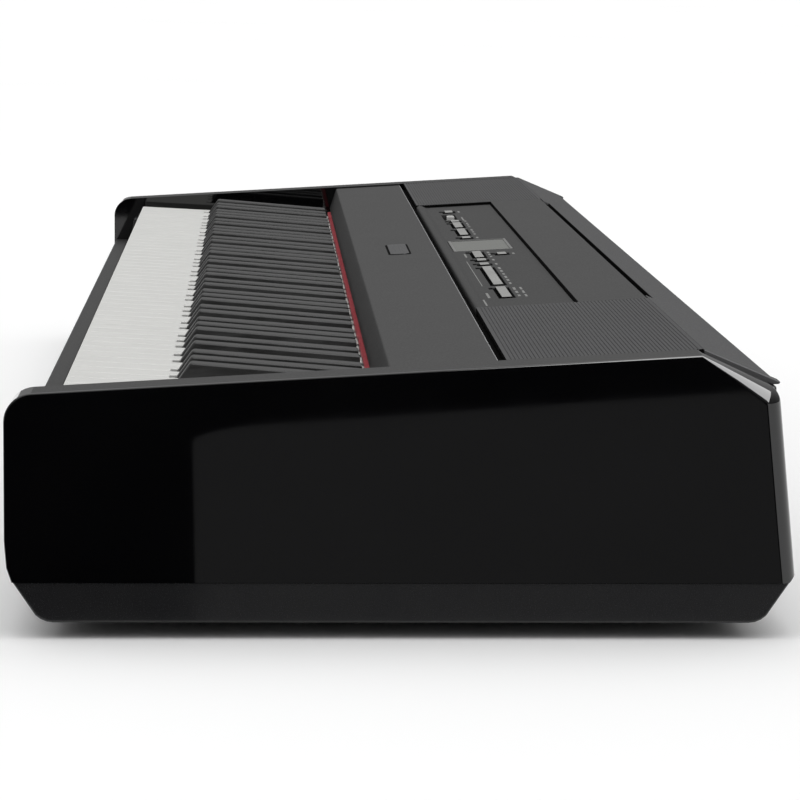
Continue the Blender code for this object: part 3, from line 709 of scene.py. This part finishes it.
def black_key(bm, sharp, octave):
    """A black key: slanted front, sides that lean in, and a back that ends before the felt. Its upper
    edges are returned, to be rounded."""
    low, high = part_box("black_key_C_sharp4")
    middle = octave_x(octave) + SHARPS[sharp]
    shoulder = 107 * MM
    top_front = -102 * MM
    back = -15.6 * MM
    tail = key_top(back) - 1.2 * MM
    outline = [(low.y, low.z), (low.y, shoulder), (top_front, high.z), (back, high.z - 6.9 * MM),
               (back, tail), (high.y, tail - 3.0 * MM), (high.y, low.z)]
    verts = run_section(bm, outline, middle - BLACK_W / 2, middle + BLACK_W / 2)
    for v in verts:
        lean = BLACK_LEAN * max(0.0, v.co.z - shoulder)
        v.co.x += lean if v.co.x < middle else -lean
    return {e for v in verts for e in v.link_edges
            if min(e.verts[0].co.z, e.verts[1].co.z) > shoulder - MM}


def make_key_row(node, keys, black):
    """The keys that move as one body, in one piece."""
    bm = bmesh.new()
    edges = set()
    for letter, octave in keys:
        edges |= black_key(bm, letter, octave) if black else white_key(bm, letter, octave)
    round_edges(bm, edges, (1.3 if black else 0.7) * MM, 4 if black else 3)
    name = node.replace("key", "note")
    mat, slot = (EBONY, "ebony_black") if black else (IVORY, "ivory_white")
    piece(name, bm, mat, node, (node,), 40)


def span(first, last, black):
    """The keys of one colour between two ends, in order."""
    keys = [(letter, octave) for octave in range(9) for letter in ORDER]
    return [k for k in keys[keys.index(first):keys.index(last) + 1] if k[0].endswith("s") == black]


def make_keys():
    """Four groups of each colour, and the twelve single keys of the middle octave."""
    for label, first, last in KEY_SPANS:
        make_key_row("white_keys_" + label, span(first, last, False), False)
        make_key_row("black_keys_" + label, span(first, last, True), True)
    for black, kind in ((False, "white"), (True, "black")):
        for key in span(("C", 4), ("B", 4), black):
            make_key_row("%s_key_%s%d" % (kind, key[0].replace("s", "_sharp"), key[1]), [key], black)


# ---------------------------------------------------------------- studio

def stage_sheet(name, corners, z, mat, rounding=0.0):
    """A flat sheet of the studio, given by its corners in plan. The second corner may be rounded."""
    bm = bmesh.new()
    verts = [bm.verts.new((x, y, z)) for x, y in corners]
    bm.faces.new(verts)
    if rounding:
        bmesh.ops.bevel(bm, geom=[verts[1]], offset=rounding, offset_type="OFFSET", segments=6,
                        profile=0.5, affect="VERTICES", material=-1)
    mesh = bpy.data.meshes.new(name)
    bm.to_mesh(mesh)
    bm.free()
    mesh.materials.append(mat)
    obj = bpy.data.objects.new(name, mesh)
    bpy.context.scene.collection.objects.link(obj)
    return obj


def make_floor():
    """Plain pale floor, far larger than the object."""
    mat, tree, shader = blank("pale_painted_floor", Roughness=0.9, Specular_IOR_Level=0.1)
    tree.links.new(blend_colour(tree, grain(tree, 0.8), "#f8f8f8", "#fbfbfb"), shader.inputs["Base Color"])
    reach = 60.0
    stage_sheet("floor", rect(-reach, reach, -reach, reach), 0.0, mat)


def glow(name, level):
    """A card that reflects an even grey."""
    mat = bpy.data.materials.new(name)
    mat.use_nodes = True
    tree = mat.node_tree
    tree.nodes.clear()
    light = add(tree, "Emission", {"Color": (level, level, level, 1.0), "Strength": 1.0})
    add(tree, "OutputMaterial", {}, {"Surface": light.outputs["Emission"]})
    return mat


def make_flags():
    """Two cards beside the treble end. The gloss block shows them as near black and as dark grey."""
    near, far = 0.69, 30.0
    black = stage_sheet("black_flag", [(near, -1.6), (far, -12.0), (far, 14.0), (near, 0.21)], 2 * MM,
                        glow("black_card", 0.002))
    grey = stage_sheet("grey_flag", [(near, -0.098), (1.40, -0.113), (1.75, 0.53), (near, 0.21)], 3 * MM,
                       glow("grey_card", 0.17), 0.06)
    for flag in (black, grey):
        flag.visible_camera = False
        flag.visible_diffuse = False
        flag.visible_shadow = False


def make_light():
    """A soft sky, brightest overhead, and one strip that draws the highlight on the gloss fillets."""
    world = bpy.data.worlds.new("studio")
    bpy.context.scene.world = world
    world.use_nodes = True
    tree = world.node_tree
    where = add(tree, "TexCoord").outputs["Generated"]
    height = add(tree, "SeparateXYZ", {}, {"Vector": where}).outputs["Z"]
    above = add(tree, "Math", {"operation": "MAXIMUM", 1: 0.0}, {0: height}).outputs["Value"]
    square = add(tree, "Math", {"operation": "POWER", 1: 2.0}, {0: above}).outputs["Value"]
    level = add(tree, "MapRange", {"From Min": 0.0, "From Max": 1.0, "To Min": 0.22, "To Max": 1.95},
                {"Value": square}).outputs["Result"]
    tree.links.new(level, tree.nodes["Background"].inputs["Strength"])
    tree.nodes["Background"].inputs["Color"].default_value = (1.0, 1.0, 1.0, 1.0)
    lamp = bpy.data.lights.new("fillet_softbox", "AREA")
    lamp.shape = "RECTANGLE"
    lamp.size, lamp.size_y = 2.2, 1.3
    lamp.energy = 70.0
    obj = bpy.data.objects.new("fillet_softbox", lamp)
    bpy.context.scene.collection.objects.link(obj)
    place, aim, rising = Vector((1.62, 1.0, 1.21)), Vector((0.66, 0.16, 0.12)), Vector((-1.68, 0.48, 1.18))
    away = (place - aim).normalized()
    along = (rising - away * rising.dot(away)).normalized()
    turn = Matrix((along, away.cross(along), away)).transposed().to_4x4()
    obj.matrix_world = Matrix.Translation(place) @ turn
    obj.visible_camera = False
    obj.visible_diffuse = False


def make_camera():
    """Long lens past the treble end, a little above the top, turned along the keyboard."""
    place = Vector((2.3763, -0.0673, 0.3283))
    yaw, tilt, roll = 0.0383, 0.1243, 0.0078
    lens = bpy.data.cameras.new("camera")
    lens.lens = 164.86
    lens.sensor_width = 36.0
    lens.clip_start, lens.clip_end = 0.05, 200.0
    obj = bpy.data.objects.new("camera", lens)
    bpy.context.scene.collection.objects.link(obj)
    quarter = math.pi / 2
    obj.matrix_world = (Matrix.Translation(place) @ Matrix.Rotation(quarter - yaw, 4, "Z")
                        @ Matrix.Rotation(quarter - tilt, 4, "X") @ Matrix.Rotation(roll, 4, "Z"))
    bpy.context.scene.camera = obj


make_camera()
make_light()
make_floor()
make_flags()
make_casing()
make_felt()
make_grille("bass_grille_ribs", "bass_grille")
make_grille("treble_grille_ribs", "treble_grille")
make_panel()
make_marks()
make_buttons()
make_slider()
make_badge()
make_keys()
dress(CASE, "music_rest_channel", "power_inlet")
dress(STEEL, "front_guide_rail", "pivot_rail")
dress(FELT, "key_stop_felt")
dress(BOARD, "main_board")
dress(WOOD, "base_board")
dress(CONE, "bass_speaker", "treble_speaker")
dress(RUBBER, "foot_front_bass", "foot_front_treble", "foot_rear_bass", "foot_rear_treble")

bpy.context.scene.view_settings.view_transform = "Standard"
bpy.context.view_layer.update()
